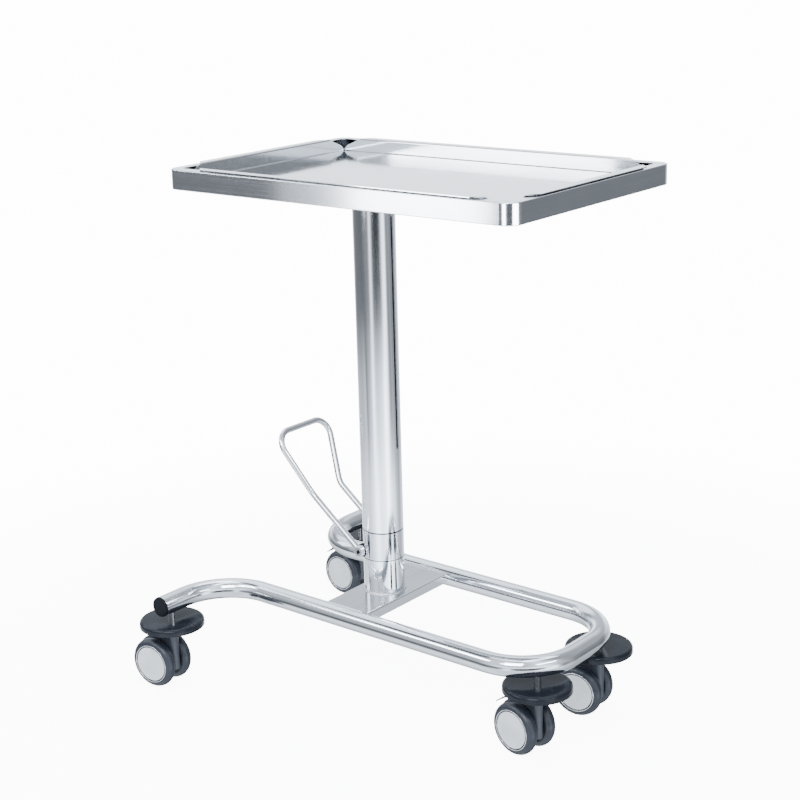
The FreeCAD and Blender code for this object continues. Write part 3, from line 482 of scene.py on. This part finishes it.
UPPER_WALLS = [(-180.0, 0.8), (-150.0, 0.45), (-137.0, 0.35), (-131.0, 0.5), (-127.0, 0.7), (-121.0, 0.9),
               (-112.0, 1.2), (-85.0, 2.2), (-60.0, 2.1), (-20.0, 3.0), (10.0, 0.8), (40.0, 0.34),
               (66.0, 0.34), (88.0, 1.4), (108.0, 2.6), (128.0, 2.7), (148.0, 2.5), (165.0, 1.6),
               (180.0, 0.8)]
HIGH_WALLS = [(-180.0, 0.5), (-150.0, 0.6), (-130.0, 0.9), (-100.0, 1.4), (-60.0, 0.7), (-20.0, 2.0),
              (30.0, 0.5), (70.0, 0.6), (110.0, 0.9), (145.0, 1.0), (165.0, 0.5), (180.0, 0.5)]
TOP_WALLS = [(-180.0, 2.2), (-170.0, 1.8), (-165.0, 0.5), (-160.0, 0.12), (-150.0, 0.12),
             (-144.0, 0.5), (-136.0, 1.1), (-100.0, 1.4), (-60.0, 0.7), (-20.0, 2.0),
             (30.0, 0.5), (70.0, 0.6), (120.0, 1.8), (140.0, 2.6), (165.0, 2.6), (180.0, 2.2)]
# Each level of the studio begins where the height of the view rises through these limits.
LEVELS = [((-0.46, -0.38), NEAR_GROUND), ((-0.335, -0.295), LOWER_WALLS), ((-0.285, -0.226), MIDDLE_WALLS),
          ((-0.06, 0.06), UPPER_WALLS), ((0.20, 0.34), HIGH_WALLS), ((0.44, 0.56), TOP_WALLS)]

# Softboxes: name, place, aim, size and watts. The first three light the whole cart; the others are
# placed for what the tray and the base tube mirror in the front view.
LIGHTS = (
    ("key", (1.2, -2.6, 2.6), (0, 0, 0.5), (1.6, 1.6), 95.0),
    ("fill", (-2.6, -1.0, 1.8), (0, 0, 0.5), (1.2, 1.8), 20.0),
    ("top", (0.0, 0.3, 3.2), (0, 0, 0.4), (2.4, 2.4), 60.0),
    ("band_softbox", (-0.21, -0.72, 0.67), (-0.21, 0.0, 0.69), (0.28, 0.11), 1.2),
    ("band_edge", (-0.43, -0.72, 0.67), (-0.43, 0.0, 0.69), (0.16, 0.11), 0.05),
    ("pan_softbox", (-0.56, -0.72, 0.88), (-0.56, 0.0, 0.86), (0.56, 0.13), 2.4),
    ("corner_softbox", (0.36, -0.80, 0.67), (0.31, -0.19, 0.75), (0.26, 0.11), 1.2),
    ("side_softbox", (0.95, -0.20, 0.67), (0.32, -0.18, 0.75), (0.50, 0.11), 2.4),
    ("tube_strip", (-0.8, -1.32, 1.30), (-0.8, -0.107, 0.13), (1.0, 0.22), 9.0),
)


def add_camera():
    turned, raised = CAMERA_AZIMUTH, CAMERA_ELEVATION
    ahead = Vector((-math.sin(turned) * math.cos(raised), math.cos(turned) * math.cos(raised),
                    -math.sin(raised)))
    right = Vector((math.cos(turned), math.sin(turned), 0.0))
    up = right.cross(ahead)
    rolled_right = math.cos(CAMERA_ROLL) * right + math.sin(CAMERA_ROLL) * up
    rolled_up = math.cos(CAMERA_ROLL) * up - math.sin(CAMERA_ROLL) * right
    turn = Matrix((rolled_right, rolled_up, -ahead)).transposed().to_4x4()
    data = bpy.data.cameras.new("camera")
    data.lens = LENS_MM
    data.sensor_width = SENSOR_MM
    data.clip_end = VIEW_END
    camera = bpy.data.objects.new("camera", data)
    bpy.context.scene.collection.objects.link(camera)
    camera.matrix_world = Matrix.Translation(CAMERA_AT) @ turn
    bpy.context.scene.camera = camera


def add_light(name, place, aim, size, watts):
    """A rectangular softbox that the camera itself doesn't see."""
    data = bpy.data.lights.new(name, "AREA")
    data.shape = "RECTANGLE"
    data.size, data.size_y = size
    data.energy = watts
    data.color = LIGHT_COLOR
    light = bpy.data.objects.new(name, data)
    bpy.context.scene.collection.objects.link(light)
    light.location = place
    light.visible_camera = False
    direction = Vector(aim) - Vector(place)
    light.rotation_mode = "QUATERNION"
    light.rotation_quaternion = direction.to_track_quat("-Z", "Y")


def add_floor():
    """A pale floor that takes shadows and isn't mirrored in the steel."""
    mesh = bpy.data.meshes.new("floor")
    work = bmesh.new()
    bmesh.ops.create_circle(work, cap_ends=True, radius=FLOOR_RADIUS, segments=96)
    work.to_mesh(mesh)
    work.free()
    floor = bpy.data.objects.new("floor", mesh)
    bpy.context.scene.collection.objects.link(floor)
    floor.location.z = CAD_BOX[0].z - FLOOR_DROP
    floor.visible_glossy = False
    floor.visible_diffuse = False
    made = Shader("floor", FLOOR_COLOR, 0.0, FLOOR_ROUGHNESS)
    made.bsdf.inputs["Emission Color"].default_value = (*FLOOR_COLOR, 1.0)
    made.bsdf.inputs["Emission Strength"].default_value = FLOOR_GLOW
    fade_out(made)
    mesh.materials.append(made.material)


def fade_out(made):
    """The floor thins out to nothing between two radii, where the pale backdrop takes over."""
    coordinates = made.node("ShaderNodeTexCoord")
    length = made.node("ShaderNodeVectorMath", operation="LENGTH")
    made.link(coordinates.outputs["Object"], length.inputs[0])
    fade = made.node("ShaderNodeMapRange", interpolation_type="SMOOTHSTEP")
    fade.inputs["From Min"].default_value = FLOOR_FADE[0]
    fade.inputs["From Max"].default_value = FLOOR_FADE[1]
    fade.inputs["To Min"].default_value = 1.0
    fade.inputs["To Max"].default_value = 0.0
    made.link(length.outputs["Value"], fade.inputs["Value"])
    made.link(fade.outputs["Result"], made.bsdf.inputs["Alpha"])


def add_world():
    """A studio as the metal sees it, in levels from the ground up. The camera sees a pale backdrop."""
    world = bpy.data.worlds.new("studio")
    bpy.context.scene.world = world
    world.use_nodes = True
    tree = world.node_tree
    back = tree.nodes["Background"]

    def node(kind, **settings):
        made = tree.nodes.new(kind)
        for key, value in settings.items():
            setattr(made, key, value)
        return made

    def blended(factor, low, high):
        mix = node("ShaderNodeMix", data_type="RGBA")
        tree.links.new(factor, mix.inputs["Factor"])
        for color, slot in ((low, mix.inputs[MIX_A]), (high, mix.inputs[MIX_B])):
            if isinstance(color, tuple):
                slot.default_value = (*color, 1.0)
            else:
                tree.links.new(color, slot)
        return mix.outputs[MIX_RESULT]

    def rising(source, limits):
        ramp = node("ShaderNodeMapRange", interpolation_type="SMOOTHSTEP")
        ramp.inputs["From Min"].default_value = limits[0]
        ramp.inputs["From Max"].default_value = limits[1]
        tree.links.new(source, ramp.inputs["Value"])
        return ramp.outputs["Result"]

    direction = node("ShaderNodeTexCoord")
    parts = node("ShaderNodeSeparateXYZ")
    tree.links.new(direction.outputs["Generated"], parts.inputs["Vector"])
    turn = node("ShaderNodeMath", operation="ARCTAN2")
    tree.links.new(parts.outputs["Y"], turn.inputs[0])
    tree.links.new(parts.outputs["X"], turn.inputs[1])
    share = node("ShaderNodeMapRange")
    share.inputs["From Min"].default_value = -math.pi
    share.inputs["From Max"].default_value = math.pi
    tree.links.new(turn.outputs["Value"], share.inputs["Value"])

    def wall(stops):
        ramp = node("ShaderNodeValToRGB")
        fill_ramp(ramp.color_ramp, [((heading + 180.0) / 360.0, level) for heading, level in stops])
        tree.links.new(share.outputs["Result"], ramp.inputs["Fac"])
        return ramp.outputs["Color"]

    room = wall(DEEP_GROUND)
    for limits, stops in LEVELS:
        room = blended(rising(parts.outputs["Z"], limits), room, wall(stops))
    seen = node("ShaderNodeLightPath")
    shown = blended(seen.outputs["Is Camera Ray"], room, BACKDROP_COLOR)
    tree.links.new(shown, back.inputs["Color"])
    back.inputs["Strength"].default_value = 1.0


def fill_ramp(ramp, stops):
    """Grey levels at places along a colour ramp, with a faint blue cast."""
    ramp.interpolation = "EASE"
    while len(ramp.elements) > 1:
        ramp.elements.remove(ramp.elements[-1])
    for index, (place, level) in enumerate(stops):
        element = ramp.elements[0] if index == 0 else ramp.elements.new(place)
        element.position = place
        element.color = (*(level * share for share in STUDIO_TINT), 1.0)


add_camera()
add_floor()
add_world()
for light in LIGHTS:
    add_light(*light)
